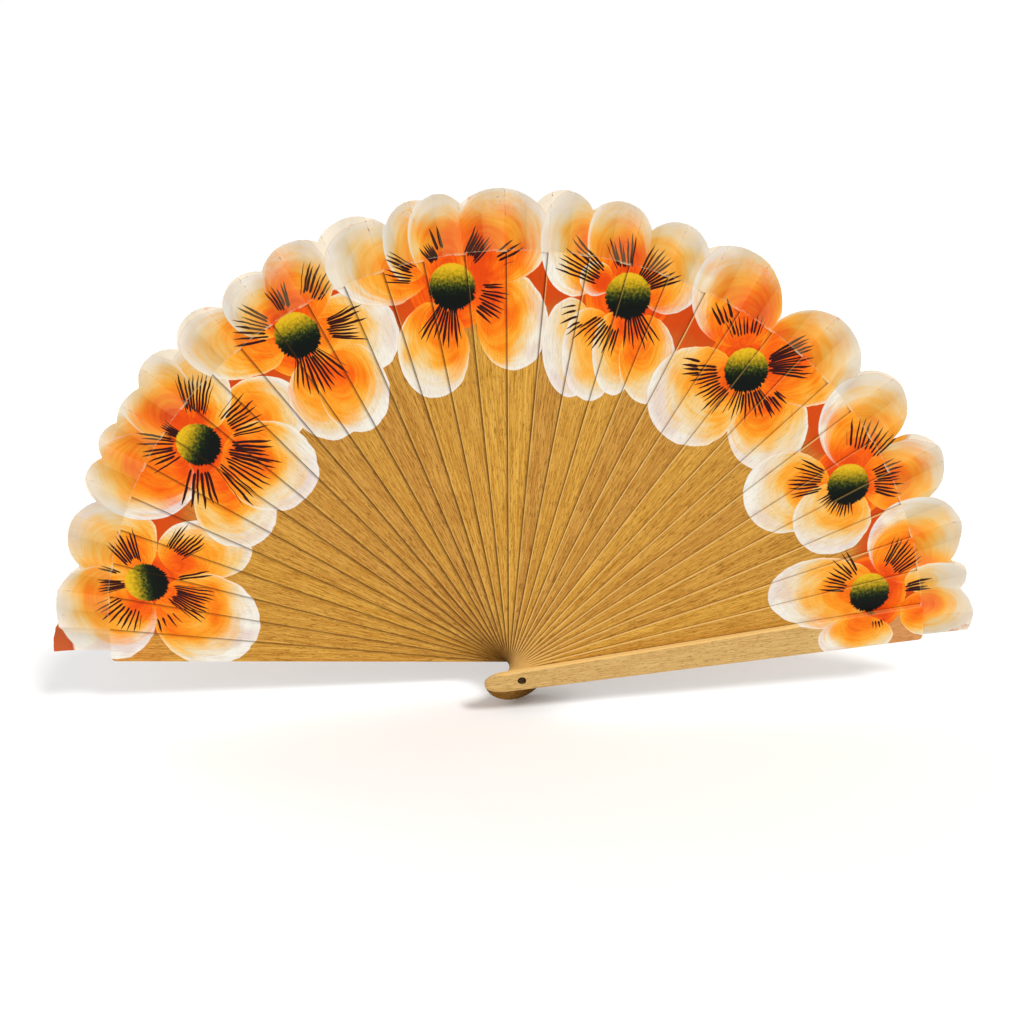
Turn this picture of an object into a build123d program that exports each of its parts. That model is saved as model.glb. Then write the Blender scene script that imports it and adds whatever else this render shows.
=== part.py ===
"""Folding hand fan: two guards and a run of thin sticks turn on one rivet, and carry a short pleated leaf.

Millimetres. The fan lies open in the XZ plane and faces -Y. The origin is on the rivet's axis, in the
front guard's outer face. Every blade behind the front guard is turned one step further anticlockwise,
as seen from the front, and lies one layer further along +Y.
"""

import math
import os

from build123d import *

# Driving dimensions
stick_count = 32  # thin sticks between the two guards
guard_angle = 5.25  # rise of the open front guard above +X, and of the back guard above -X
blade_length = 188.0  # rivet axis to the end of a blade's wide part
root_width = 9.5  # blade width at the rivet axis
end_width = 17.5  # blade width at the end of its wide part
head_reach = 17.0  # how far a blade's head goes past the rivet axis
head_length = 10.0  # length of the head's rounded end
stick_thickness = 0.70
layer_gap = 0.06  # running gap between neighbouring blades
guard_thickness = 3.0
guard_edge_radius = 0.9
guard_corner_radius = 2.2
stick_corner_radius = 0.5

# The tongue at a blade's end, which the leaf is glued to
tongue_thickness = 0.35
tongue_root = 6.0  # length of the tongue's root inside the wide part
tongue_reach = 205.0  # furthest a tongue's tip lies from the rivet axis
tongue_margin = 3.0  # least leaf left past a tongue's tip
tongue_taper = 0.8  # width lost on each side towards the tip
stick_tongue = (1.0, 8.0)  # across the blade, from its centre line, upwards positive
front_guard_tongue = (-7.0, 0.2)
back_guard_tongue = (-5.2, 2.2)

# Leaf
leaf_thickness = 0.15
leaf_start = 188.3  # inner radius, just past the ends of the wide parts
fold_overhang = 1.0  # leaf past a tongue's upper side, where it folds back

# The leaf's outer edge: angle and distance from the rivet of each dip and each lobe's tip, in turn
leaf_profile = [
    (2, 209), (6, 212), (9, 207), (10.9, 210.5), (13.2, 203), (18.8, 210.5), (22.7, 200.5), (26.4, 212),
    (32.2, 196), (36.8, 210.5), (42.1, 200.5), (47, 209.5), (54.4, 194), (61.8, 210.5), (66.4, 204),
    (69.8, 209.5), (73.3, 203), (77, 211), (80.3, 205.5), (83.6, 212), (86.6, 206.5), (90.8, 212),
    (95.1, 207), (97.5, 212), (99.1, 210.5), (100.8, 211.2), (103.6, 204.5), (108.2, 211.7),
    (111.4, 207.3), (114.8, 212), (118.5, 207.3), (122, 210.2), (124.7, 204.5), (128.8, 210.7),
    (131.9, 204), (135.6, 210.5), (138.6, 206), (141, 208), (143.8, 206), (146, 209), (148.6, 204.5),
    (151, 208), (154.3, 200.5), (159, 208.5), (163.6, 201.5), (168, 210), (171.8, 209.5), (173.6, 212),
    (176.5, 211.5),
]  # fmt: skip

# Rivet
rivet_radius = 1.5
rivet_clearance = 0.05
rivet_head_radius = 1.95
rivet_head_height = 0.9
head_pocket_radius = 2.05
head_pocket_depth = 1.3
washer_radius = 2.6
washer_thickness = 0.5
washer_pocket_radius = 2.8
washer_pocket_depth = 1.3
peened_radius = 2.0
peened_height = 0.5

# Worked out from the above
blade_count = stick_count + 2
layer_pitch = stick_thickness + layer_gap
step_angle = (180 - 2 * guard_angle) / (blade_count - 1)
first_stick_y = guard_thickness + layer_gap
back_guard_y = first_stick_y + stick_count * layer_pitch
stack_depth = back_guard_y + guard_thickness
leaf_setback = stick_thickness - tongue_thickness - leaf_thickness  # leaf face behind a blade's face

os.makedirs("parts", exist_ok=True)


def blade_angle(index):
    """Lie of a blade in the open fan; 0 is the front guard and the last is the back guard."""
    return guard_angle + index * step_angle


def blade_y(index):
    """Front face of a stick's layer, counted on to both guards' tongues."""
    return first_stick_y + (index - 1) * layer_pitch


def blade_plane(index, y):
    """Plane facing the front, with x along the blade and y across it, upwards at the open right side."""
    turn = math.radians(blade_angle(index))
    return Plane(origin=(0, y, 0), x_dir=(math.cos(turn), 0, math.sin(turn)), z_dir=(0, -1, 0))


def half_width(along):
    """Half a blade's width at a distance from the rivet axis."""
    return (root_width + (end_width - root_width) * along / blade_length) / 2


def leaf_edge(angle):
    """Least distance from the rivet axis to the leaf's outer edge at an angle."""
    for (low, near), (high, far) in zip(leaf_profile, leaf_profile[1:]):
        if low <= angle <= high:
            return near + (far - near) * (angle - low) / (high - low)
    return leaf_profile[0][1]


def blade_outline(index, y, corner_radius):
    """Sketch of a blade's wide part: a rounded head, straight tapered sides and a square end."""
    head_start = head_length - head_reach
    with BuildSketch(blade_plane(index, y)) as outline:
        with BuildLine():
            EllipticalCenterArc(
                center=(head_start, 0),
                x_radius=head_length,
                y_radius=half_width(head_start),
                start_angle=90,
                arc_size=180,
            )
            Polyline(
                (head_start, -half_width(head_start)),
                (blade_length, -half_width(blade_length)),
                (blade_length, half_width(blade_length)),
                (head_start, half_width(head_start)),
            )
        make_face()
        ends = vertices().group_by(Axis.X)[-1]
        fillet(ends, corner_radius)
    return outline.sketch


def tongue_outline(index, y, span):
    """Sketch of a blade's tongue, cut short where the leaf's edge dips."""
    low, high = span
    sides = [blade_angle(index) + math.degrees(math.atan(side / blade_length)) for side in span]
    tip = min([tongue_reach] + [leaf_edge(side) - tongue_margin for side in sides])
    with BuildSketch(blade_plane(index, y)) as outline:
        with BuildLine():
            Polyline(
                (blade_length - tongue_root, low),
                (tip, low + tongue_taper),
                (tip, high - tongue_taper),
                (blade_length - tongue_root, high),
                close=True,
            )
        make_face()
    return outline.sketch


# Front guard: its rivet pocket opens in the outer face, and its tongue is at its back
with BuildPart() as front_guard:
    extrude(blade_outline(0, 0, guard_corner_radius), amount=-guard_thickness)
    outer_face = faces().sort_by(Axis.Y)[0]
    fillet(outer_face.edges(), guard_edge_radius)
    tongue = tongue_outline(0, guard_thickness - tongue_thickness, front_guard_tongue)
    extrude(tongue, amount=-tongue_thickness)
    with Locations(Plane(origin=(0, 0, 0), z_dir=(0, -1, 0))):
        CounterBoreHole(rivet_radius + rivet_clearance, head_pocket_radius, head_pocket_depth, guard_thickness)
front_guard.part.label = "front_guard"
export_step(front_guard.part, "parts/front_guard.step")

# Sticks: one thin blade for each layer
for index in range(1, stick_count + 1):
    name = f"stick_{index:02d}"
    with BuildPart() as stick:
        stick_y = blade_y(index)
        extrude(blade_outline(index, stick_y, stick_corner_radius), amount=-stick_thickness)
        tongue = tongue_outline(index, stick_y + stick_thickness - tongue_thickness, stick_tongue)
        extrude(tongue, amount=-tongue_thickness)
        with Locations(blade_plane(index, stick_y)):
            Hole(rivet_radius + rivet_clearance, stick_thickness)
    stick.part.label = name
    export_step(stick.part, f"parts/{name}.step")

# Back guard: a mirror of the front guard in its layers, with a wider pocket for the rivet's washer
with BuildPart() as back_guard:
    last = blade_count - 1
    extrude(blade_outline(last, back_guard_y, guard_corner_radius), amount=-guard_thickness)
    outer_face = faces().sort_by(Axis.Y)[-1]
    fillet(outer_face.edges(), guard_edge_radius)
    tongue = tongue_outline(last, back_guard_y + leaf_setback + leaf_thickness, back_guard_tongue)
    extrude(tongue, amount=-tongue_thickness)
    with Locations(Plane(origin=(0, stack_depth, 0), z_dir=(0, 1, 0))):
        CounterBoreHole(rivet_radius + rivet_clearance, washer_pocket_radius, washer_pocket_depth, guard_thickness)
back_guard.part.label = "back_guard"
export_step(back_guard.part, "parts/back_guard.step")

def dome_middle(radius, height):
    """Point halfway out on a round dome's profile, as its radius and its height over the dome's rim."""
    sphere_radius = (radius**2 + height**2) / (2 * height)
    return radius / 2, math.sqrt(sphere_radius**2 - (radius / 2) ** 2) - (sphere_radius - height)


# Rivet: a round pin with a domed head in the front pocket and a peened end in the back one
washer_y = stack_depth - washer_pocket_depth
peened_y = washer_y + washer_thickness
head_middle = dome_middle(rivet_head_radius, rivet_head_height)
peened_middle = dome_middle(peened_radius, peened_height)
with BuildPart() as rivet:
    with BuildSketch(Plane.XY):
        with BuildLine():
            Line((0, head_pocket_depth - rivet_head_height), (0, peened_y + peened_height))
            ThreePointArc(
                (0, peened_y + peened_height),
                (peened_middle[0], peened_y + peened_middle[1]),
                (peened_radius, peened_y),
            )
            Polyline(
                (peened_radius, peened_y),
                (rivet_radius, peened_y),
                (rivet_radius, head_pocket_depth),
                (rivet_head_radius, head_pocket_depth),
            )
            ThreePointArc(
                (rivet_head_radius, head_pocket_depth),
                (head_middle[0], head_pocket_depth - head_middle[1]),
                (0, head_pocket_depth - rivet_head_height),
            )
        make_face()
    revolve(axis=Axis.Y)
rivet.part.label = "rivet"
export_step(rivet.part, "parts/rivet.step")

# Washer under the rivet's peened end
with BuildPart() as rivet_washer:
    with BuildSketch(Plane(origin=(0, washer_y, 0), z_dir=(0, 1, 0))):
        Circle(washer_radius)
        Circle(rivet_radius, mode=Mode.SUBTRACT)
    extrude(amount=washer_thickness)
rivet_washer.part.label = "rivet_washer"
export_step(rivet_washer.part, "parts/rivet_washer.step")


def tongue_span(index):
    if index == 0:
        return front_guard_tongue
    if index == blade_count - 1:
        return back_guard_tongue
    return stick_tongue


def fold_angle(index):
    """Angle of the fold at a tongue's upper side."""
    return blade_angle(index) + math.degrees(math.atan((tongue_span(index)[1] + fold_overhang) / leaf_start))


def front_plane(y):
    """Plane facing the front, with x along +X and y along +Z."""
    return Plane(origin=(0, y, 0), x_dir=(1, 0, 0), z_dir=(0, -1, 0))


def sector(y, low, high):
    """Sketch of a wedge of the leaf's ring between two angles, longer than the ring at both ends."""
    inner, outer = leaf_start - 5, tongue_reach + 15
    corners = [(inner, low), (outer, low), (outer, high), (inner, high)]
    with BuildSketch(front_plane(y)) as wedge:
        with BuildLine():
            Polyline([Vector(reach, 0).rotate(Axis.Z, angle) for reach, angle in corners], close=True)
        make_face()
    return wedge.sketch


# Leaf: one cloth, stepped back a layer at each fold, with a lobed outer edge
leaf_first_y = blade_y(0) + leaf_setback
riser_angle = math.degrees(leaf_thickness / leaf_start)
leaf_low = blade_angle(0) + math.degrees(math.atan((front_guard_tongue[0] - 0.3) / leaf_start))
folds = [leaf_low] + [fold_angle(index) for index in range(blade_count)]
with BuildPart() as leaf:
    for index in range(blade_count):
        leaf_y = leaf_first_y + index * layer_pitch
        extrude(sector(leaf_y, folds[index], folds[index + 1] + riser_angle), amount=-leaf_thickness)
        if index < blade_count - 1:
            riser = sector(leaf_y, folds[index + 1], folds[index + 1] + riser_angle)
            extrude(riser, amount=-(layer_pitch + leaf_thickness))
    with BuildSketch(front_plane(0)):
        with BuildLine():
            edge = [Vector(reach, 0).rotate(Axis.Z, angle) for angle, reach in leaf_profile]
            for dip, tip, next_dip in zip(edge[0::2], edge[1::2], edge[2::2]):
                ThreePointArc(dip, tip, next_dip)
            Polyline(edge[-1], (0, 0), edge[0])
        make_face()
        Circle(leaf_start, mode=Mode.SUBTRACT)
    extrude(amount=-stack_depth, mode=Mode.INTERSECT)
leaf.part.label = "leaf"
export_step(leaf.part, "parts/leaf.step")

print("opening", round(180 - 2 * guard_angle, 2), "step", round(step_angle, 4), "stack depth", round(stack_depth, 2))
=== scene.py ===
"""Folding hand fan: varnished wooden blades and a short cloth leaf, painted across with poppies."""

import math
import random

import bpy
from mathutils import Matrix, Vector


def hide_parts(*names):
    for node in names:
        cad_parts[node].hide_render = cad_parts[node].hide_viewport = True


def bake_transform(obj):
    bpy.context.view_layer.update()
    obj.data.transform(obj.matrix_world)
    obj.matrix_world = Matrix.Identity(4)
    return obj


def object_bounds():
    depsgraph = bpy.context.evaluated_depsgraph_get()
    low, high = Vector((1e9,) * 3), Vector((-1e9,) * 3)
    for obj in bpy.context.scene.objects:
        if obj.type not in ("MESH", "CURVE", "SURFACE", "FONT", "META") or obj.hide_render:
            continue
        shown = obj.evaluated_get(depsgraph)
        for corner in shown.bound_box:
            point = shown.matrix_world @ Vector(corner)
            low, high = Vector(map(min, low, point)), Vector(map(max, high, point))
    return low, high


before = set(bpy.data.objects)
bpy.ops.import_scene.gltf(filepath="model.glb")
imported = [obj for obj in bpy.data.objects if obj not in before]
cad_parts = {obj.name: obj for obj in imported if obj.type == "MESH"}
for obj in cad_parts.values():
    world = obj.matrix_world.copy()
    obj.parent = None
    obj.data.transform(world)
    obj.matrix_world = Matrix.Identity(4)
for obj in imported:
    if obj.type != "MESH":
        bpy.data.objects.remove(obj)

mm = 0.001  # one millimetre; lengths below are millimetres unless they carry this

# The open fan: angles are degrees from +X, anticlockwise as seen from the front, about the rivet
blade_names = ["front_guard"] + [f"stick_{number:02d}" for number in range(1, 33)] + ["back_guard"]
guard_angle = 5.25
blade_step = (180 - 2 * guard_angle) / (len(blade_names) - 1)
blade_length = 188.0
root_width, end_width = 9.5, 17.5
blade_round = math.degrees(10 / blade_length)  # half a blade's end in degrees, and a little over
# The blade in front covers a blade up to a line, which is overlap_root off its centre line at the
# rivet and overlap_slope less for every millimetre along it
overlap_root, overlap_slope = 4.73, 0.0683
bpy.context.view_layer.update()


def blade_angle(index):
    """Direction of a blade's centre line."""
    return guard_angle + blade_step * index


def polar(angle, reach, y=0.0):
    """Point at an angle and a distance from the rivet, in millimetres."""
    return Vector((reach * math.cos(math.radians(angle)), y, reach * math.sin(math.radians(angle))))


# ---------------------------------------------------------------- node wiring


def paint(red, green, blue):
    """Colour from the 0 to 255 numbers of a paint chart, as the shader's linear colour."""

    def linear(part):
        part /= 255
        return part / 12.92 if part <= 0.04045 else ((part + 0.055) / 1.055) ** 2.4

    return (linear(red), linear(green), linear(blue), 1.0)


def node(tree, kind, values=(), **settings):
    """New node with its settings, and its inputs set or linked by number or name."""
    made = tree.nodes.new(kind)
    for name, setting in settings.items():
        setattr(made, name, setting)
    for key, value in values.items() if isinstance(values, dict) else enumerate(values):
        if isinstance(value, bpy.types.NodeSocket):
            tree.links.new(value, made.inputs[key])
        else:
            made.inputs[key].default_value = value
    return made


def calc(tree, operation, *values, clamp=False):
    return node(tree, "ShaderNodeMath", values, operation=operation, use_clamp=clamp).outputs[0]


def vector(tree, operation, *values):
    """Vector arithmetic; a length, a distance and a dot product come out as a number."""
    made = node(tree, "ShaderNodeVectorMath", values, operation=operation)
    return made.outputs["Value" if operation in ("LENGTH", "DISTANCE", "DOT_PRODUCT") else "Vector"]


def scaled(tree, place, x, y, z):
    return vector(tree, "MULTIPLY", place, (x, y, z))


def rise(tree, value, low, high, start=0.0, end=1.0):
    """Smooth change from start to end while value goes from low to high."""
    values = (value, low, high, start, end)
    return node(tree, "ShaderNodeMapRange", values, interpolation_type="SMOOTHSTEP").outputs[0]


def mix(tree, share, under, over, kind="RGBA"):
    """Under, with a share of over laid on it; the numbers are the node's sockets for each kind."""
    first, out = {"VECTOR": (4, 1), "RGBA": (6, 2)}[kind]
    values = {0: share, first: under, first + 1: over}
    return node(tree, "ShaderNodeMix", values, data_type=kind).outputs[out]


def cloud(tree, place, detail=2.0, roughness=0.5):
    """Soft noise: its value and its colour."""
    values = {"Vector": place, "Scale": 1.0, "Detail": detail, "Roughness": roughness}
    made = node(tree, "ShaderNodeTexNoise", values)
    return made.outputs[0], made.outputs[1]


def ramp(tree, value, stops):
    """Colour ramp from (position, colour) stops."""
    made = node(tree, "ShaderNodeValToRGB", (value,))
    band = made.color_ramp.elements
    for position, _ in stops[1:-1]:
        band.new(position)
    for element, (position, colour) in zip(band, stops):
        element.position, element.color = position, colour
    return made.outputs[0]


def lit(tree, colour, value):
    """Colour made brighter or darker."""
    return node(tree, "ShaderNodeHueSaturation", {"Color": colour, "Value": value}).outputs[0]


def attribute(tree, name, output="Fac"):
    """What the mesh carries under a name."""
    return node(tree, "ShaderNodeAttribute", attribute_name=name).outputs[output]


def facing_back(tree):
    """How squarely the surface faces backwards: 1 on the back, -1 on the front."""
    normal = node(tree, "ShaderNodeNewGeometry").outputs["Normal"]
    return vector(tree, "DOT_PRODUCT", normal, (0, 1, 0))


def bumped(tree, shader, height, strength, depth):
    """Give a shader fine relief, depth millimetres deep."""
    values = {"Height": height, "Strength": strength, "Distance": depth * mm}
    tree.links.new(node(tree, "ShaderNodeBump", values).outputs[0], shader.inputs["Normal"])


# The type that stands for each kind of socket in the lists given to new_group
socket_kinds = {
    float: "Float",
    tuple: "Vector",
    list: "Color",
    bpy.types.Mesh: "Geometry",
    bpy.types.Material: "Material",
}


def new_group(name, inputs, outputs, family="Shader"):
    """Empty node group: its tree, what comes in by name and what goes out by name."""
    tree = bpy.data.node_groups.new(name, family + "NodeTree")
    for direction, sockets in (("INPUT", inputs), ("OUTPUT", outputs)):
        for label, kind in sockets:
            kind = "NodeSocket" + socket_kinds[kind]
            tree.interface.new_socket(label, in_out=direction, socket_type=kind)
    entry, way_out = tree.nodes.new("NodeGroupInput"), tree.nodes.new("NodeGroupOutput")
    return tree, entry.outputs, way_out.inputs


def use(tree, group, values):
    """What a node group gives for these inputs."""
    return node(tree, "ShaderNodeGroup", values, node_tree=group).outputs


# ------------------------------------------------------------ the flower paint


def petal_group():
    """One petal laid over what is painted beneath.

    Painted carries how far out a point's brush stroke is, its paleness and its white."""
    tree, given, out = new_group(
        "Petal",
        [("Place", tuple), ("Centre", tuple), ("Reach", tuple), ("Outward", tuple)]
        + [("White side", tuple), ("Pale", float), ("Wobble", float)]
        + [("Beneath", tuple), ("Covered", float)],
        [("Painted", tuple), ("Covered", float)],
    )
    offset = vector(tree, "SUBTRACT", given["Place"], given["Centre"])
    local = vector(tree, "DIVIDE", offset, given["Reach"])
    radius = calc(tree, "ADD", vector(tree, "LENGTH", local), given["Wobble"])
    outward = vector(tree, "DOT_PRODUCT", local, given["Outward"])
    # Brush strokes swing out from the petal's foot, so they are ovals that all touch there. The one
    # through a point is as large as the squared distance from the foot over twice the way ahead of it
    from_foot = calc(tree, "MULTIPLY_ADD", outward, 2.0, 1.0)
    from_foot = calc(tree, "MULTIPLY_ADD", radius, radius, from_foot)
    ahead = calc(tree, "MAXIMUM", calc(tree, "MULTIPLY_ADD", outward, 2.0, 2.0), 0.05)
    oval = calc(tree, "DIVIDE", from_foot, ahead)
    fading = calc(tree, "MULTIPLY_ADD", outward, 0.38, 0.67)
    paleness = calc(tree, "MULTIPLY_ADD", calc(tree, "POWER", oval, 1.25), fading, given["Pale"])
    whiteness = vector(tree, "DOT_PRODUCT", local, given["White side"])
    white = calc(tree, "MULTIPLY", rise(tree, oval, 0.6, 0.93), whiteness, clamp=True)
    painted = node(tree, "ShaderNodeCombineXYZ", (oval, paleness, white)).outputs[0]
    mask = rise(tree, radius, 1.0, 0.975)
    tree.links.new(mix(tree, mask, given["Beneath"], painted, "VECTOR"), out["Painted"])
    tree.links.new(calc(tree, "MAXIMUM", given["Covered"], mask), out["Covered"])
    return tree


def strokes_group():
    """A fan of thin ink strokes drawn outwards from a flower's middle.

    Each stroke has its own number, and so its own luck in place, length and thickness."""
    tree, given, out = new_group(
        "Ink strokes",
        [("Angle", float), ("Away", float), ("Toward", float), ("Spread", float), ("From", float)]
        + [("To", float), ("Count", float), ("Thick", float), ("Seed", float), ("Ink", float)],
        [("Ink", float)],
    )
    turn = calc(tree, "SUBTRACT", given["Angle"], given["Toward"])
    turn = calc(tree, "WRAP", turn, 180.0, -180.0)
    step = calc(tree, "DIVIDE", given["Spread"], given["Count"])
    order = calc(tree, "ADD", calc(tree, "DIVIDE", turn, step), 50.0)  # never below nought
    number = calc(tree, "FLOOR", order)
    seeded = calc(tree, "MULTIPLY_ADD", given["Seed"], 71.3, number)
    luck = node(tree, "ShaderNodeTexWhiteNoise", {"W": seeded}, noise_dimensions="1D")
    lucky = node(tree, "ShaderNodeSeparateColor", (luck.outputs["Color"],)).outputs
    middle = calc(tree, "MULTIPLY_ADD", lucky[0], 0.36, 0.32)
    across = calc(tree, "ABSOLUTE", calc(tree, "SUBTRACT", calc(tree, "FRACT", order), middle))
    turned = calc(tree, "MULTIPLY", calc(tree, "MULTIPLY", across, step), math.radians(1))
    off_line = calc(tree, "MULTIPLY", turned, given["Away"])
    length = calc(tree, "SUBTRACT", given["To"], given["From"])
    shorter = calc(tree, "MULTIPLY", calc(tree, "MULTIPLY", lucky[1], lucky[1]), -0.3)
    end = calc(tree, "MULTIPLY_ADD", shorter, length, given["To"])
    later = calc(tree, "MULTIPLY", lucky[2], 0.15)
    begin = calc(tree, "MULTIPLY_ADD", later, length, given["From"])
    tip = calc(tree, "MULTIPLY", calc(tree, "SUBTRACT", end, given["Away"]), 0.22)
    heel = calc(tree, "MULTIPLY", calc(tree, "SUBTRACT", given["Away"], begin), 0.9)
    taper = calc(tree, "MINIMUM", tip, heel, clamp=True)
    thick = calc(tree, "MULTIPLY", calc(tree, "MULTIPLY_ADD", lucky[2], 0.22, 0.42), given["Thick"])
    body = calc(tree, "MULTIPLY", thick, calc(tree, "POWER", taper, 0.6))
    line = calc(tree, "MULTIPLY", calc(tree, "SUBTRACT", body, off_line), 7.0, clamp=True)
    half = calc(tree, "MULTIPLY", given["Spread"], 0.5)
    inside = calc(tree, "LESS_THAN", calc(tree, "ABSOLUTE", turn), half)
    drawn = calc(tree, "MULTIPLY", line, inside)
    tree.links.new(calc(tree, "MAXIMUM", given["Ink"], drawn), out["Ink"])
    return tree


petal_nodes, strokes_nodes = petal_group(), strokes_group()
disc_radius = 9.0
heart_radius = 18.0  # the orange patch laid first, under the feet of the petals
petal_depth = 1000.0  # a petal's paint reaches right through the fan
stroke_spread, stroke_start = 1.3, 0.88  # how much wider and nearer than listed a fan of strokes is
few_strokes, few_thickness = 6, 1.25  # a fan of few strokes has thicker ones

# Along the way from a petal's foot to where it is palest
petal_colours = [
    (0.0, paint(220, 68, 2)),
    (0.13, paint(236, 92, 4)),
    (0.28, paint(238, 124, 12)),
    (0.4, paint(240, 152, 34)),
    (0.52, paint(238, 170, 66)),
    (0.64, paint(232, 190, 116)),
    (0.78, paint(226, 202, 160)),
    (1.0, paint(224, 212, 192)),
]


def flower_group(name, middle, dark_toward, petals, strokes):
    """A painted flower: petals in the order they are laid, then ink strokes, then the furry disc.

    A petal is (x, z, half width, half height, paleness, direction of its white edge or None,
    whiteness). A fan of strokes is (direction, spread, from, to, count) round the middle."""
    tree, given, out = new_group(name, [("Place", tuple)], [("Colour", list), ("Cover", float)])
    place = given["Place"]
    centre = Vector((middle[0], 0, middle[1]))
    ripple, ripple_colour = cloud(tree, scaled(tree, place, 0.11, 0.11, 0.11), detail=2.0)
    shake = node(tree, "ShaderNodeSeparateColor", (ripple_colour,)).outputs
    shaken = [calc(tree, "MULTIPLY_ADD", part, 1.5, -0.75) for part in (shake[0], shake[1])]
    shaken = node(tree, "ShaderNodeCombineXYZ", (shaken[0], 0.0, shaken[1])).outputs[0]
    brushed = vector(tree, "ADD", place, shaken)
    wobble = calc(tree, "MULTIPLY_ADD", ripple, 0.08, -0.04)

    painted, covered = (0.0, 0.0, 0.0), 0.0
    heart = (*middle, heart_radius, heart_radius, -0.5, None, 0)
    for x, z, wide, tall, pale, white_toward, whiteness in [heart, *petals]:
        away = Vector((x, 0, z)) - centre
        outward = Vector((away.x / wide, 0, away.z / tall)).normalized()
        white = (0, 0, 0) if white_toward is None else polar(white_toward, whiteness)
        values = {"Place": brushed, "Centre": (x, 0, z), "Reach": (wide, petal_depth, tall)}
        values |= {"Outward": outward, "White side": white, "Pale": pale, "Wobble": wobble}
        laid = use(tree, petal_nodes, values | {"Beneath": painted, "Covered": covered})
        painted, covered = laid["Painted"], laid["Covered"]
    parts = node(tree, "ShaderNodeSeparateXYZ", (painted,)).outputs
    far_out, faded, white = parts[0], parts[1], parts[2]
    slow = scaled(tree, place, 0.055, 0.0, 0.055)
    quick = calc(tree, "MULTIPLY", far_out, 16.0)
    round_it = node(tree, "ShaderNodeCombineXYZ", (0.0, quick, 0.0)).outputs[0]
    streak, _ = cloud(tree, vector(tree, "ADD", slow, round_it), detail=3.0, roughness=0.6)
    streaked = calc(tree, "SUBTRACT", rise(tree, streak, 0.3, 0.7), 0.5)
    daub, _ = cloud(tree, scaled(tree, place, 0.07, 0.0, 0.07), detail=1.0)
    daubed = calc(tree, "MULTIPLY_ADD", calc(tree, "SUBTRACT", daub, 0.5), 0.85, faded)
    paleness = calc(tree, "MULTIPLY_ADD", streaked, 0.15, daubed)
    colour = ramp(tree, calc(tree, "MULTIPLY_ADD", paleness, 0.9, 0.1), petal_colours)
    streaky = calc(tree, "MULTIPLY", white, 1.1)
    whitened = calc(tree, "MULTIPLY_ADD", streaked, streaky, white, clamp=True)
    chalk = mix(tree, rise(tree, daub, 0.42, 0.6), paint(218, 200, 192), paint(232, 228, 216))
    colour = mix(tree, whitened, colour, chalk)
    outermost = rise(tree, far_out, 0.9, 0.985)
    edge = calc(tree, "MULTIPLY", outermost, rise(tree, faded, 0.15, 0.6), clamp=True)
    colour = mix(tree, calc(tree, "MULTIPLY", edge, 0.6), colour, paint(232, 228, 218))

    offset = vector(tree, "SUBTRACT", place, tuple(centre))
    away = vector(tree, "LENGTH", offset)
    flat = node(tree, "ShaderNodeSeparateXYZ", (offset,)).outputs
    angle = calc(tree, "MULTIPLY", calc(tree, "ARCTAN2", flat[2], flat[0]), math.degrees(1))
    waver = calc(tree, "SUBTRACT", calc(tree, "MULTIPLY_ADD", ripple, 4.0, angle), 2.0)
    ink = 0.0
    for seed, (toward, spread, near, far, count) in enumerate(strokes):
        values = {"Angle": waver, "Away": away, "Toward": toward, "Spread": stroke_spread * spread}
        values |= {"From": stroke_start * near, "To": far, "Count": count, "Ink": ink}
        values["Thick"] = 1.0 if count > few_strokes else few_thickness
        values["Seed"] = middle[0] + seed * 3.7
        ink = use(tree, strokes_nodes, values)["Ink"]
    ink_colour = mix(tree, ripple, paint(30, 6, 14), paint(62, 18, 8))
    colour = mix(tree, ink, colour, ink_colour)

    hairs = calc(tree, "MULTIPLY", angle, 0.2)
    hairs = node(tree, "ShaderNodeCombineXYZ", (hairs, 0.0, 0.0)).outputs[0]
    fur_place = vector(tree, "ADD", hairs, scaled(tree, place, 0.12, 0.0, 0.12))
    fur, _ = cloud(tree, fur_place, detail=3.0)
    dark = vector(tree, "DOT_PRODUCT", offset, tuple(polar(dark_toward, 1 / disc_radius)))
    longer = rise(tree, dark, -0.6, 0.9, 1.0, 4.6)  # the fur is longest on the dark side
    furry = calc(tree, "MULTIPLY", longer, calc(tree, "SUBTRACT", fur, 0.35))
    rim = calc(tree, "ADD", disc_radius, furry)
    disc = rise(tree, calc(tree, "SUBTRACT", away, rim), 0.35, -0.35)
    dabs, _ = cloud(tree, scaled(tree, place, 0.75, 0.0, 0.75), detail=3.0, roughness=0.7)
    dabbed = calc(tree, "MULTIPLY_ADD", calc(tree, "SUBTRACT", dabs, 0.45), 1.3, dark)
    disc_colour = ramp(
        tree,
        calc(tree, "MULTIPLY_ADD", dabbed, 0.7, 0.54),
        [
            (0.0, paint(222, 176, 26)),
            (0.24, paint(180, 146, 16)),
            (0.42, paint(112, 104, 12)),
            (0.58, paint(44, 54, 12)),
            (0.76, paint(10, 20, 8)),
            (1.0, paint(6, 12, 8)),
        ],
    )
    colour = mix(tree, disc, colour, disc_colour)
    cover = calc(tree, "MAXIMUM", calc(tree, "MAXIMUM", covered, ink), disc)
    tree.links.new(colour, out["Colour"])
    tree.links.new(cover, out["Cover"])
    return tree


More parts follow.
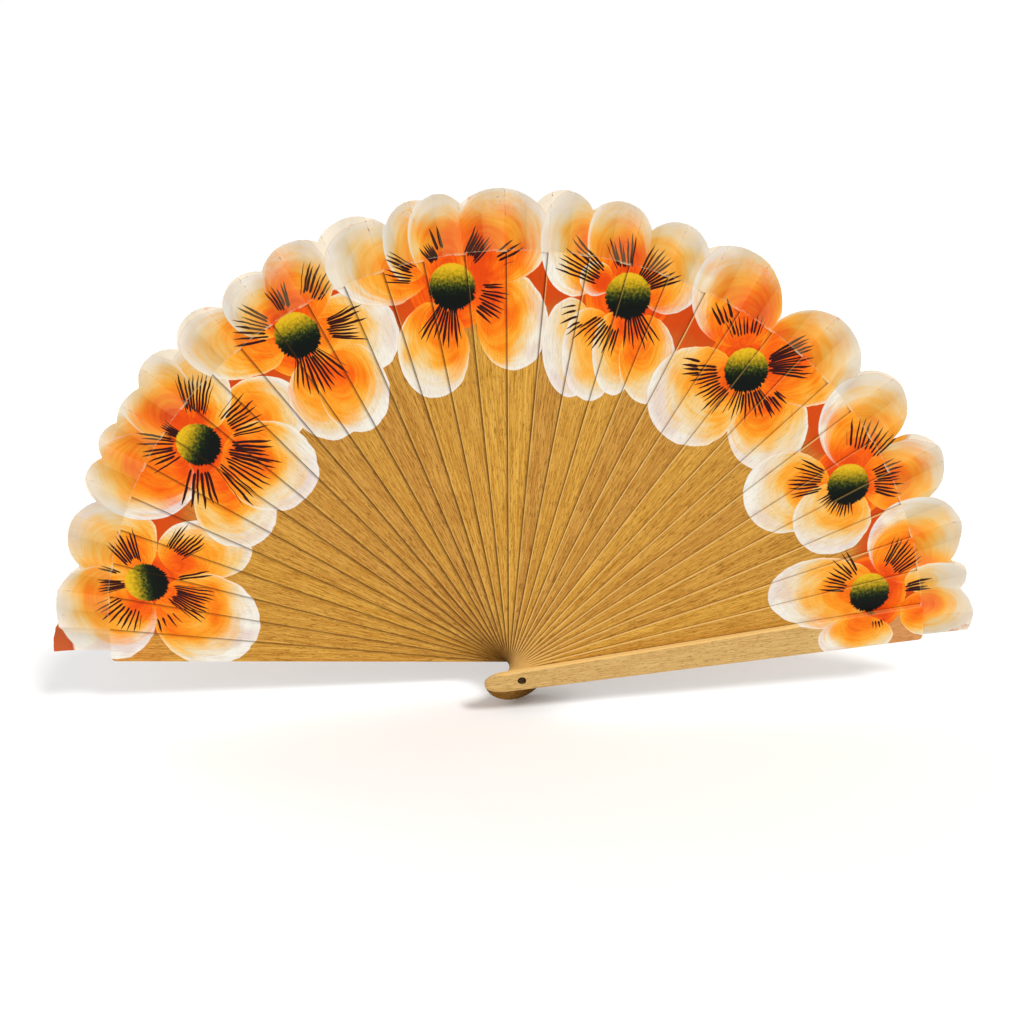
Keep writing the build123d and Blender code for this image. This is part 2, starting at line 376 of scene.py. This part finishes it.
# name, middle, direction of the disc's dark side, petals, strokes
flowers = [
    (
        "Flower 1",
        (-166, 47.5),
        0,
        [
            (-138, 62, 21, 15, 0.04, 60, 0.9),
            (-142, 27, 24, 24, 0.04, -35, 1.3),
            (-178, 70, 21, 21, 0.1, 120, 1.3),
            (-186, 33, 22, 24, 0.0, -85, 1.4),
        ],
        [
            (110, 30, 11, 27, 8),
            (155, 6, 13, 22, 2),
            (183, 16, 10, 22, 5),
            (228, 40, 16, 29, 9),
            (331, 30, 13, 31, 11),
            (6, 8, 16, 30, 2),
            (43, 20, 22, 36, 9),
            (288, 20, 20, 26, 3),
        ],
    ),
    (
        "Flower 2",
        (-134, 111),
        -30,
        [
            (-122, 82, 18, 20, 0.05, -60, 0.6),
            (-104, 125, 18, 15, 0.0, 20, 0.6),
            (-105, 100, 21, 21, 0.0, -30, 1.0),
            (-157, 113, 19, 14, -0.08, 200, 0.4),
            (-160, 97, 23, 20, -0.1, -60, 0.9),
            (-130, 135, 13, 18, 0.05, 60, 0.5),
            (-148, 132, 16, 18, -0.05, 150, 0.5),
        ],
        [
            (188, 40, 10, 26, 8),
            (85, 25, 15, 32, 9),
            (148, 16, 8, 17, 5),
            (30, 30, 17, 32, 9),
            (322, 36, 13, 36, 9),
            (350, 20, 14, 32, 6),
            (265, 30, 12, 30, 6),
        ],
    ),
    (
        "Flower 3",
        (-87.5, 156.5),
        -70,
        [
            (-64, 156, 19, 18, 0.15, -10, 0.7),
            (-77, 130, 17, 19, 0.05, 200, 0.6),
            (-66, 133, 15, 19, 0.0, -40, 0.8),
            (-114, 153, 22, 15, 0.0, 160, 0.5),
            (-101, 168, 15, 13, 0.05, 150, 1.0),
            (-85, 178, 14, 17, -0.1, 100, 0.5),
        ],
        [
            (168, 35, 12, 27, 8),
            (110, 20, 12, 22, 5),
            (65, 22, 18, 31, 7),
            (10, 25, 13, 30, 9),
            (293, 50, 8, 27, 11),
        ],
    ),
    (
        "Flower 4",
        (-23, 174.5),
        -90,
        [
            (-52, 184, 22, 17, 0.05, 230, 0.7),
            (-32, 148, 15, 20, 0.0, -90, 0.5),
            (1, 159, 15, 20, -0.05, -20, 1.0),
            (-40, 193, 10, 17, -0.02, 120, 0.5),
            (-27, 194, 13, 18, -0.12, 90, 0.4),
            (-2, 194, 19, 19, -0.15, 30, 0.5),
        ],
        [
            (122, 14, 13, 20, 6),
            (163, 20, 18, 29, 7),
            (105, 10, 16, 25, 2),
            (55, 20, 14, 26, 8),
            (28, 12, 24, 34, 3),
            (338, 40, 13, 24, 10),
            (255, 35, 8, 26, 9),
        ],
    ),
    (
        "Flower 5",
        (49, 169),
        -90,
        [
            (25, 148, 12, 21, 0.25, -120, 0.8),
            (33, 145, 12, 20, 0.05, 200, 0.6),
            (43, 145, 9, 18, 0.0, -90, 0.4),
            (57, 142, 12, 19, 0.0, -20, 0.9),
            (27, 190, 14, 21, 0.05, 220, 1.0),
            (66, 180, 17, 19, 0.02, -60, 0.7),
            (45, 190, 13, 19, -0.12, 60, 0.4),
            (36, 176, 7, 7, -0.2, 260, 0.8),
        ],
        [
            (145, 25, 15, 33, 8),
            (98, 25, 12, 25, 7),
            (38, 40, 8, 24, 10),
            (203, 30, 24, 31, 7),
            (233, 35, 15, 27, 10),
            (285, 35, 8, 24, 8),
        ],
    ),
    (
        "Flower 6",
        (99.5, 137),
        -90,
        [
            (110, 112, 18, 20, 0.05, -120, 0.9),
            (78, 126, 21, 22, 0.08, 205, 1.2),
            (95, 168, 20, 22, -0.1, 150, 0.8),
            (127, 141, 23, 21, -0.1, 20, 0.4),
        ],
        [
            (93, 35, 16, 24, 9),
            (115, 14, 24, 32, 4),
            (10, 32, 9, 30, 12),
            (176, 14, 22, 28, 4),
            (203, 50, 12, 27, 12),
            (275, 50, 9, 23, 11),
            (312, 20, 17, 25, 5),
        ],
    ),
    (
        "Flower 7",
        (147.3, 85),
        -90,
        [
            (120, 82, 20, 19, 0.1, 180, 0.9),
            (153, 112, 21, 22, -0.05, 170, 1.0),
            (174, 87, 21, 17, -0.05, 60, 0.4),
            (141, 69, 18, 17, 0.15, -90, 0.8),
        ],
        [
            (70, 40, 17, 31, 9),
            (172, 36, 13, 28, 10),
            (5, 38, 12, 26, 10),
            (245, 60, 9, 16, 12),
        ],
    ),
    (
        "Flower 8",
        (161, 33),
        -85,
        [
            (139, 34, 26, 17, 0.05, 200, 1.15),
            (155, 12, 18, 11, 0.04, 210, 1.3),
            (181, 57, 23, 21, -0.02, 170, 1.0),
            (192, 38, 15, 8, 0.3, None, 0),
            (194, 22, 19, 12, 0.05, 0, 0.4),
        ],
        [
            (50, 30, 15, 30, 9),
            (148, 45, 12, 25, 10),
            (5, 12, 18, 30, 4),
            (285, 20, 15, 18, 5),
        ],
    ),
]
flower_nodes = [flower_group(*flower) for flower in flowers]


def flowers_near(low, high):
    """The flowers whose petals reach between two angles about the rivet."""
    found = []
    for nodes, (_, _, _, petals, _) in zip(flower_nodes, flowers):
        for x, z, wide, tall, *_ in petals:
            reach = math.hypot(x, z)
            spread = math.degrees((math.hypot(wide * z, tall * x) / reach + 2) / reach)
            angle = math.degrees(math.atan2(z, x))
            if angle + spread > low and angle - spread < high:
                found.append(nodes)
                break
    return found


def painted_over(tree, place, ground, nodes):
    """Colour of the ground with flowers painted on it, and how much of it they cover."""
    colour, cover = ground, 0.0
    for group in nodes:
        laid = use(tree, group, {"Place": place})
        colour = mix(tree, laid["Cover"], colour, laid["Colour"])
        cover = calc(tree, "MAXIMUM", cover, laid["Cover"])
    return colour, cover


# ------------------------------------------------------------------- materials


def new_material(name):
    """Empty material with its Principled shader and output."""
    material = bpy.data.materials.new(name)
    material.use_nodes = True
    tree = material.node_tree
    return material, tree, tree.nodes["Principled BSDF"]


def wood_group():
    """Straight fine grain along X, with short dark pores, in millimetres."""
    tree, given, out = new_group(
        "Blade wood",
        [("Place", tuple), ("Light wood", list), ("Dark wood", list)],
        [("Colour", list), ("Height", float)],
    )
    place = given["Place"]
    band, _ = cloud(tree, scaled(tree, place, 0.012, 0.5, 0.35), detail=3.0)
    fibre, _ = cloud(tree, scaled(tree, place, 0.06, 1.0, 2.0), detail=4.0, roughness=0.65)
    fleck, _ = cloud(tree, scaled(tree, place, 0.24, 1.0, 2.4), detail=2.0, roughness=0.8)
    pores = rise(tree, fleck, 0.53, 0.63)
    banded = calc(tree, "MULTIPLY_ADD", band, 0.3, 0.08)
    blend = calc(tree, "MULTIPLY_ADD", rise(tree, fibre, 0.34, 0.66), 0.62, banded)
    colour = mix(tree, blend, given["Dark wood"], given["Light wood"])
    darkest = lit(tree, given["Dark wood"], 0.55)
    colour = mix(tree, calc(tree, "MULTIPLY", pores, 0.68), colour, darkest)
    tree.links.new(colour, out["Colour"])
    tree.links.new(calc(tree, "MULTIPLY_ADD", pores, -0.8, fibre), out["Height"])
    return tree


wood_nodes = wood_group()


def painted_wood(index, light, dark, side):
    """Varnished wood of one blade, painted with the flowers that cross it."""
    name = blade_names[index]
    angle = blade_angle(index)
    material, tree, shader = new_material("Painted wood " + name)
    metres = node(tree, "ShaderNodeTexCoord").outputs["Object"]
    place = scaled(tree, metres, 1000, 1000, 1000)
    turned = {"Vector": place, "Rotation": (0, math.radians(angle), 0)}
    straight = node(tree, "ShaderNodeMapping", turned, vector_type="POINT").outputs[0]
    # Each blade is cut from another place in the wood
    blade_place = vector(tree, "ADD", straight, (index * 41.0, 0, index * 7.0))
    wood = use(tree, wood_nodes, {"Place": blade_place, "Light wood": light, "Dark wood": dark})
    backwards = facing_back(tree)
    edge = rise(tree, calc(tree, "ABSOLUTE", backwards), 0.75, 0.45)
    ground = mix(tree, calc(tree, "MULTIPLY", edge, 0.7), wood["Colour"], side)

    # A red wash on the blades' ends, then the flowers; the back stays plain wood
    place = scaled(tree, metres, 1000, 0, 1000)
    reach = vector(tree, "LENGTH", place)
    patch, _ = cloud(tree, scaled(tree, place, 0.09, 0.0, 0.09), detail=3.0)
    patchy = calc(tree, "MULTIPLY_ADD", patch, 18.0, reach)
    grained = calc(tree, "MULTIPLY_ADD", wood["Height"], 9.0, patchy)
    wash = rise(tree, grained, 164.0, 184.0)
    brick = mix(tree, patch, paint(184, 48, 0), paint(212, 70, 0))
    front = rise(tree, backwards, 0.6, 0.3)
    strength = {"back_guard": 0.2, "front_guard": 0.35}.get(name, 1.0)  # little on the guards' ends
    wash = calc(tree, "MULTIPLY", wash, calc(tree, "MULTIPLY", front, strength))
    ground = mix(tree, wash, ground, mix(tree, 0.05, brick, wood["Colour"]))
    near = flowers_near(angle - blade_round, angle + blade_round)
    colour, cover = painted_over(tree, place, ground, near)
    grainy = lit(tree, colour, calc(tree, "MULTIPLY_ADD", wood["Height"], 0.18, 0.9))
    cover = calc(tree, "MULTIPLY", cover, front)
    colour = mix(tree, cover, ground, grainy)

    # Painted shadow along the blade in front, and a painted highlight, a pale lip, along the other
    # side; blades that lean away from the light, most at 152 degrees and not at all below 62, have
    # a darker painted shadow and less of the highlight
    spot = node(tree, "ShaderNodeSeparateXYZ", (straight,)).outputs
    beside = calc(tree, "ADD", calc(tree, "MULTIPLY", spot[0], overlap_slope), spot[2])
    lee = max(0.0, -math.cos(math.radians(angle + 28)))
    # Painted shadow, darkest right at the line where the blade in front covers this one
    if index:
        painted_seam_shadow = rise(tree, calc(tree, "SUBTRACT", beside, overlap_root), 0.7 + 0.9 * lee, -0.1)
        colour = mix(tree, calc(tree, "MULTIPLY", painted_seam_shadow, 0.55 + 0.3 * lee), colour, paint(58, 30, 8))
    widening = (end_width - root_width) / 2 / blade_length
    half = calc(tree, "MULTIPLY_ADD", spot[0], widening, root_width / 2)
    # Painted highlight: a pale lip along the blade's own uncovered edge, fainter where paint covers
    # it
    painted_highlight_lip = rise(tree, calc(tree, "SUBTRACT", half, spot[2]), 0.6, 0.2)
    painted_highlight_lip = calc(tree, "MULTIPLY", painted_highlight_lip, 0.72 * (1 - lee))
    painted_highlight_lip = calc(tree, "MULTIPLY", painted_highlight_lip, calc(tree, "MULTIPLY_ADD", cover, -0.75, 1.0))
    colour = mix(tree, painted_highlight_lip, colour, paint(236, 194, 118))
    tree.links.new(colour, shader.inputs["Base Color"])
    tree.links.new(calc(tree, "MULTIPLY_ADD", cover, -0.1, 0.52), shader.inputs["Roughness"])
    bumped(tree, shader, wood["Height"], 0.3, 0.08)
    shader.inputs["Specular IOR Level"].default_value = 0.09
    return material


def painted_cloth(index, low, high):
    """Thin painted cloth of the pleat between two angles, woven finely; light comes through."""
    material, tree, shader = new_material(f"Painted cloth {index:02d}")
    place = attribute(tree, "cloth_place", "Vector")
    backed = attribute(tree, "backed")
    patch, _ = cloud(tree, scaled(tree, place, 0.12, 0.0, 0.12), detail=3.0)
    ground = mix(tree, rise(tree, patch, 0.3, 0.42), paint(222, 150, 110), paint(240, 230, 212))
    across = node(tree, "ShaderNodeSeparateXYZ", (place,)).outputs[0]
    left_end = rise(tree, across, -202.5, -204)
    ground = mix(tree, left_end, ground, paint(186, 66, 20))
    colour, cover = painted_over(tree, place, ground, flowers_near(low, high))
    reach = vector(tree, "LENGTH", place)
    worn, _ = cloud(tree, scaled(tree, place, 0.5, 0.0, 0.5), detail=4.0, roughness=0.7)
    # Painted light: strips with no tongue behind them are mixed towards warm light and made brighter,
    # as if lit through from behind
    thin = calc(tree, "MULTIPLY_ADD", backed, -0.08, 0.1)
    colour = mix(tree, thin, colour, paint(255, 216, 140))
    bright = calc(tree, "MULTIPLY_ADD", backed, -0.06, 1.06)
    # Painted shade and light along the pleats: darker in the valleys, lighter on the folds
    painted_fold_shade = calc(tree, "MULTIPLY_ADD", attribute(tree, "crest"), 0.16, 0.85)  # dark in the valleys
    bright = calc(tree, "MULTIPLY", bright, painted_fold_shade)
    by_edge = rise(tree, reach, 199.0, 211.0)
    rubbed = calc(tree, "MULTIPLY", by_edge, rise(tree, worn, 0.35, 0.65, 0.15, 0.6))
    rubbed = calc(tree, "MULTIPLY", rubbed, cover)
    colour = mix(tree, rubbed, colour, paint(226, 214, 198))
    colour = lit(tree, colour, bright)
    glue = rise(tree, calc(tree, "MULTIPLY_ADD", worn, 3.0, reach), 190.2, 189.2)
    colour = mix(tree, calc(tree, "MULTIPLY", glue, 0.5), colour, paint(236, 214, 174))
    specks = calc(tree, "MULTIPLY", rise(tree, worn, 0.62, 0.68), rise(tree, reach, 203.0, 209.0))
    colour = mix(tree, calc(tree, "MULTIPLY", specks, 0.6), colour, paint(168, 84, 48))
    behind = rise(tree, facing_back(tree), 0.2, 0.5, 0.0, 0.72)
    colour = mix(tree, behind, colour, paint(250, 240, 216))
    cracked = calc(tree, "MULTIPLY_ADD", worn, 1.8, attribute(tree, "crease"))
    cracked = rise(tree, cracked, 1.8, 2.1)
    cracked = calc(tree, "MULTIPLY", cracked, rise(tree, reach, 196.0, 206.0))
    colour = mix(tree, calc(tree, "MULTIPLY", cracked, 0.8), colour, paint(120, 40, 20))
    tree.links.new(colour, shader.inputs["Base Color"])
    shader.inputs["Roughness"].default_value = 0.6
    shader.inputs["Specular IOR Level"].default_value = 0.12
    threads = {"Vector": scaled(tree, place, 9.0, 0.0, 9.0), "Scale": 0.32, "Distortion": 0.6}
    warp = node(tree, "ShaderNodeTexWave", threads).outputs[1]
    weft = node(tree, "ShaderNodeTexWave", threads, bands_direction="Z").outputs[1]
    bumped(tree, shader, calc(tree, "ADD", warp, weft), 0.15, 0.05)
    through = node(tree, "ShaderNodeBsdfTranslucent", {"Color": colour}).outputs[0]
    both = node(tree, "ShaderNodeMixShader", (0.12, shader.outputs[0], through)).outputs[0]
    tree.links.new(both, tree.nodes["Material Output"].inputs["Surface"])
    return material


def rivet_metal():
    """Darkened brass, scratched where the blades have turned under it."""
    material, tree, shader = new_material("Darkened rivet")
    metres = node(tree, "ShaderNodeTexCoord").outputs["Object"]
    rub, _ = cloud(tree, scaled(tree, metres, 900, 900, 900), detail=4.0, roughness=0.7)
    colour = mix(tree, rise(tree, rub, 0.4, 0.7), paint(44, 32, 26), paint(96, 74, 52))
    tree.links.new(colour, shader.inputs["Base Color"])
    tree.links.new(rise(tree, rub, 0.3, 0.7, 0.32, 0.55), shader.inputs["Roughness"])
    shader.inputs["Metallic"].default_value = 0.9
    bumped(tree, shader, rub, 0.25, 0.1)
    return material


def dress(name, material):
    """Put a material on a carried-over node."""
    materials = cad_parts[name].data.materials
    materials.clear()
    materials.append(material)


rng = random.Random(11)
for index, name in enumerate(blade_names):
    shift = rng.uniform(-7, 7)
    # The grain's light and dark wood, and the blade's sides
    if name == "front_guard":
        woods = [(218, 182, 118), (182, 138, 72), (226, 194, 134)]
    else:
        woods = [(217 + shift, 166 + shift, 76), (162 + shift, 102 + shift, 20), (196, 146, 66)]
    light, dark, side = [paint(*colour) for colour in woods]
    dress(name, painted_wood(index, light, dark, side))
metal = rivet_metal()
dress("rivet", metal)
dress("rivet_washer", metal)


# -------------------------------------------------------------------- the leaf

leaf_start = 188.3  # where the blades' tongues begin to show
cloth_start = 187.6  # the cloth laps a little over the blades' ends
longest_reach = 212.4
dip_slack = 0.2  # how far the edge may come inside the shallower of a lobe's dips
ragged = 0.1  # how far the cut edge strays
leaf_thickness = 0.15
first_layer, layer_pitch = 2.5, 0.76  # depth of the first pleat, and from each to the next
# Across the blades, from their centre lines
front_tongue, stick_tongue, back_tongue = (-7.0, 0.2), (1.0, 8.0), (-5.2, 2.2)
tongue_end = 205.0
guard_lap, fold_overhang = 0.3, 1.0  # how far the cloth passes the first tongue, and each fold
edge_curl = 1.7  # how far the folds stand forward at the leaf's free edge
curl_start, curl_end = 200.0, 212.0
rows, glued_columns, free_columns = 14, 10, 12  # points out along a flat strip, steps round it

# Angle and distance from the rivet of each dip and each lobe's tip of the leaf's edge, in turn
leaf_edge = [
    (2, 209), (6, 212), (9, 207), (10.9, 210.5), (13.2, 203), (18.8, 210.5), (22.7, 200.5),
    (26.4, 212), (32.2, 196), (36.8, 210.5), (42.1, 200.5), (47, 209.5), (54.4, 194), (61.8, 210.5),
    (66.4, 204), (69.8, 209.5), (73.3, 203), (77, 211), (80.3, 205.5), (83.6, 212), (86.6, 206.5),
    (90.8, 212), (95.1, 207), (97.5, 212), (99.1, 210.5), (100.8, 211.2), (103.6, 204.5),
    (108.2, 211.7), (111.4, 207.3), (114.8, 212), (118.5, 207.3), (122, 210.2), (124.7, 204.5),
    (128.8, 210.7), (131.9, 204), (135.6, 210.5), (138.6, 206), (141, 208), (143.8, 206),
    (146, 209), (148.6, 204.5), (151, 208), (154.3, 200.5), (159, 208.5), (163.6, 201.5),
    (168, 210), (171.8, 209.5), (173.6, 212), (176.5, 211.5),
]


def leaf_reach(angle):
    """Distance from the rivet to the leaf's edge; a lobe is an arc through its tip and two dips."""
    lobes = zip(leaf_edge[0::2], leaf_edge[1::2], leaf_edge[2::2])
    start, tip, stop = next(lobe for lobe in lobes if angle <= lobe[2][0])
    a, b, c = (polar(*point) for point in (start, tip, stop))
    # centre of the circle through the three points
    d = 2 * (a.x * (b.z - c.z) + b.x * (c.z - a.z) + c.x * (a.z - b.z))
    sa, sb, sc = a.length_squared, b.length_squared, c.length_squared
    cx = (sa * (b.z - c.z) + sb * (c.z - a.z) + sc * (a.z - b.z)) / d
    cz = (sa * (c.x - b.x) + sb * (a.x - c.x) + sc * (b.x - a.x)) / d
    ray = polar(angle, 1.0)
    along = ray.x * cx + ray.z * cz
    gap = (a.x - cx) ** 2 + (a.z - cz) ** 2 - (cx * cx + cz * cz - along * along)
    # the far side of the circle, or the near side of one that lies beyond the leaf
    reach = along + math.sqrt(max(gap, 0.0)) * (1 if along < sa**0.5 else -1)
    return min(max(reach, min(start[1], stop[1]) - dip_slack), longest_reach)


def side_angle(index, across):
    """Angle at which a line beside a blade's centre line crosses the blades' ends."""
    return blade_angle(index) + math.degrees(math.atan(across / leaf_start))


def tongue(index):
    """The two sides of a blade's tongue."""
    if index == 0:
        return front_tongue
    return back_tongue if index == len(blade_names) - 1 else stick_tongue


def pleat_tree():
    """Folds a flat strip of cloth into a pleat, gives it thickness and marks what its colours need.

    Angles are degrees about the rivet: Start to Fold is glued on a tongue, Fold to Valley is free,
    and Valley to Stop lies on the next tongue. Lengths are millimetres."""
    numbers = ["Start", "Fold", "Valley", "Stop", "Depth", "Layer pitch", "Edge curl", "Thickness"]
    inputs = [("Flat strip", bpy.types.Mesh), *[(name, float) for name in numbers]]
    inputs.append(("Cloth", bpy.types.Material))
    outputs = [("Pleat", bpy.types.Mesh)]
    tree, given, out = new_group("Leaf pleat", inputs, outputs, family="Geometry")

    def along(value, low, high, start, end):
        return node(tree, "ShaderNodeMapRange", (value, low, high, start, end)).outputs[0]

    def mark(cloth, kind, name, value):
        values = {"Geometry": cloth, "Name": name, "Value": value}
        settings = {"data_type": kind, "domain": "POINT"}
        return node(tree, "GeometryNodeStoreNamedAttribute", values, **settings).outputs[0]

    place = scaled(tree, node(tree, "GeometryNodeInputPosition").outputs[0], 1000, 1000, 1000)
    flat = node(tree, "ShaderNodeSeparateXYZ", (place,)).outputs
    angle = calc(tree, "MULTIPLY", calc(tree, "ARCTAN2", flat[2], flat[0]), math.degrees(1))
    reach = vector(tree, "LENGTH", place)
    past_fold = calc(tree, "GREATER_THAN", angle, calc(tree, "ADD", given["Fold"], 0.001))
    before_next = calc(tree, "LESS_THAN", angle, calc(tree, "ADD", given["Valley"], 0.001))
    glued = calc(tree, "SUBTRACT", 1.0, calc(tree, "MULTIPLY", past_fold, before_next))
    # 1 on a fold, which stands forward, and 0 in a valley
    crest = along(angle, given["Start"], given["Fold"], 0.0, 1.0)
    crest = calc(tree, "ADD", crest, along(angle, given["Fold"], given["Valley"], 0.0, -1.0))
    crest = calc(tree, "ADD", crest, along(angle, given["Valley"], given["Stop"], 0.0, 1.0))
    sunk = calc(tree, "MINIMUM", along(angle, given["Fold"], given["Valley"], 0.0, 1.6), 1.0)
    depth = calc(tree, "MULTIPLY_ADD", sunk, given["Layer pitch"], given["Depth"])
    opened = calc(tree, "POWER", along(reach, curl_start, curl_end, 0.0, 1.0), 2.0)
    opened = calc(tree, "MULTIPLY", calc(tree, "MULTIPLY", opened, crest), given["Edge curl"])
    depth = calc(tree, "MULTIPLY", calc(tree, "SUBTRACT", depth, opened), mm)
    past_tongue = along(reach, tongue_end - 0.5, tongue_end + 0.5, 1.0, 0.4)
    tongue_behind = calc(tree, "MULTIPLY", glued, past_tongue)
    at_fold = calc(tree, "COMPARE", angle, given["Fold"], 0.01)

    cloth = mark(given["Flat strip"], "FLOAT_VECTOR", "cloth_place", place)
    cloth = mark(cloth, "FLOAT", "backed", tongue_behind)
    cloth = mark(cloth, "FLOAT", "crease", at_fold)
    cloth = mark(cloth, "FLOAT", "crest", crest)
    sink = node(tree, "ShaderNodeCombineXYZ", (0.0, depth, 0.0)).outputs[0]
    face = node(tree, "GeometryNodeSetPosition", {"Geometry": cloth, "Offset": sink}).outputs[0]
    through = calc(tree, "MULTIPLY", given["Thickness"], mm)
    backwards = node(tree, "ShaderNodeCombineXYZ", (0.0, 1.0, 0.0)).outputs[0]
    values = {"Mesh": face, "Offset": backwards, "Offset Scale": through, "Individual": False}
    back = node(tree, "GeometryNodeExtrudeMesh", values, mode="FACES").outputs[0]
    front = node(tree, "GeometryNodeFlipFaces", {"Mesh": face}).outputs[0]
    both = tree.nodes.new("GeometryNodeJoinGeometry")
    tree.links.new(front, both.inputs[0])
    tree.links.new(back, both.inputs[0])
    sides = {"Geometry": both.outputs[0], "Distance": 0.001 * mm}
    closed = node(tree, "GeometryNodeMergeByDistance", sides).outputs[0]
    whole = node(tree, "GeometryNodeRealizeInstances", {"Geometry": closed}).outputs[0]
    values = {"Geometry": whole, "Material": given["Cloth"]}
    dyed = node(tree, "GeometryNodeSetMaterial", values).outputs[0]
    tree.links.new(dyed, out["Pleat"])
    return tree


pleat_nodes = pleat_tree()


def folded(cloth, sizes):
    """Run the pleat tree on a flat strip and keep the result as a plain mesh."""
    fold_it = cloth.modifiers.new("pleat", "NODES")
    fold_it.node_group = pleat_nodes
    for socket in pleat_nodes.interface.items_tree:
        if socket.in_out == "INPUT" and socket.name in sizes:
            fold_it[socket.identifier] = sizes[socket.name]
    depsgraph = bpy.context.evaluated_depsgraph_get()
    mesh = bpy.data.meshes.new_from_object(
        cloth.evaluated_get(depsgraph), preserve_all_data_layers=True, depsgraph=depsgraph
    )
    flat = cloth.data
    cloth.modifiers.clear()
    cloth.data = mesh
    bpy.data.meshes.remove(flat)
    mesh.name = cloth.name


def pleat(index):
    """One pleat: the strip glued over a blade's tongue, and the free strip to the next blade."""
    last = index == len(blade_names) - 2
    start = side_angle(index, tongue(index)[0] - (guard_lap if index == 0 else 0.0))
    fold = side_angle(index, tongue(index)[1] + fold_overhang)
    valley = side_angle(index + 1, tongue(index + 1)[0])
    stop = side_angle(index + 1, tongue(index + 1)[1] + fold_overhang) if last else valley
    strips = [(start, fold, glued_columns), (fold, valley, free_columns)]
    if last:
        strips.append((valley, stop, glued_columns))
    columns = [start]
    for low, high, count in strips:
        columns += [low + (high - low) * step / count for step in range(1, count + 1)]
    reaches = [leaf_reach(angle) + rng.uniform(-ragged, ragged) for angle in columns]
    points = [
        polar(angle, cloth_start + (reach - cloth_start) * row / (rows - 1)) * mm
        for angle, reach in zip(columns, reaches)
        for row in range(rows)
    ]
    corners = [column * rows + row for column in range(len(columns) - 1) for row in range(rows - 1)]
    mesh = bpy.data.meshes.new("flat strip")
    mesh.from_pydata(points, [], [(a, a + rows, a + rows + 1, a + 1) for a in corners])
    cloth = bpy.data.objects.new(f"leaf_pleat_{index:02d}", mesh)
    bpy.context.collection.objects.link(cloth)
    depth = first_layer + layer_pitch * index
    sizes = {"Start": start, "Fold": fold, "Valley": valley, "Stop": stop, "Depth": depth}
    sizes |= {"Layer pitch": layer_pitch, "Edge curl": edge_curl, "Thickness": leaf_thickness}
    folded(cloth, sizes | {"Cloth": painted_cloth(index, start, stop)})
    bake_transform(cloth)
    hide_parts("leaf")


for index in range(len(blade_names) - 1):
    pleat(index)


# ---------------------------------------------------------- floor, light, camera


def plain_material(name, colour, roughness):
    material, _, shader = new_material(name)
    shader.inputs["Base Color"].default_value = colour
    shader.inputs["Roughness"].default_value = roughness
    return material


def floor_plane():
    """Wide plain floor just under the fan."""
    half = 4.0
    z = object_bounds()[0].z - 0.2 * mm
    mesh = bpy.data.meshes.new("floor")
    corners = [(-half, -half, z), (half, -half, z), (half, half, z), (-half, half, z)]
    mesh.from_pydata(corners, [], [(0, 1, 2, 3)])
    floor = bpy.data.objects.new("floor", mesh)
    bpy.context.collection.objects.link(floor)
    mesh.materials.append(plain_material("Pale floor", (0.93, 0.93, 0.93, 1), 0.7))


def window_light(name, direction, strength, softness):
    """Even soft light; direction is where it comes from and softness its angle across."""
    light = bpy.data.lights.new(name, "SUN")
    light.energy, light.angle = strength, math.radians(softness)
    lamp = bpy.data.objects.new(name, light)
    lamp.rotation_euler = (-Vector(direction)).to_track_quat("-Z", "Y").to_euler()
    bpy.context.collection.objects.link(lamp)


floor_plane()
window_light("key light", (0.5, -0.45, 0.8), 2.0, 16)
window_light("back fill", (-0.5, 0.7, 0.6), 0.9, 40)
world = bpy.data.worlds.new("bright room")
world.use_nodes = True
room = world.node_tree
room_light, seen_brighter = 0.68, 0.35  # what the room gives, and how much more the camera sees
backdrop = room.nodes["Background"]
backdrop.inputs["Color"].default_value = (1, 1, 1, 1)
seen = node(room, "ShaderNodeLightPath").outputs["Is Camera Ray"]
strength = calc(room, "MULTIPLY_ADD", seen, seen_brighter, room_light)
room.links.new(strength, backdrop.inputs["Strength"])
bpy.context.scene.world = world
bpy.context.scene.view_settings.view_transform = "Standard"

camera_data = bpy.data.cameras.new("camera")
camera_data.lens = 33.3
camera_data.shift_x, camera_data.shift_y = -0.0226, -0.0028
camera_data.clip_start = 0.01
camera = bpy.data.objects.new("camera", camera_data)
stand = Matrix.Translation(Vector((-24.5, -379.5, 214.8)) * mm)
aside, down, roll = 4.84, 19.18, 1.19  # how far the camera is turned, tilted and rolled, in degrees
turn = Matrix.Rotation(math.radians(-aside), 4, "Z")
turn = turn @ Matrix.Rotation(math.radians(90 - down), 4, "X")
camera.matrix_world = stand @ turn @ Matrix.Rotation(math.radians(-roll), 4, "Z")
bpy.context.collection.objects.link(camera)
bpy.context.scene.camera = camera
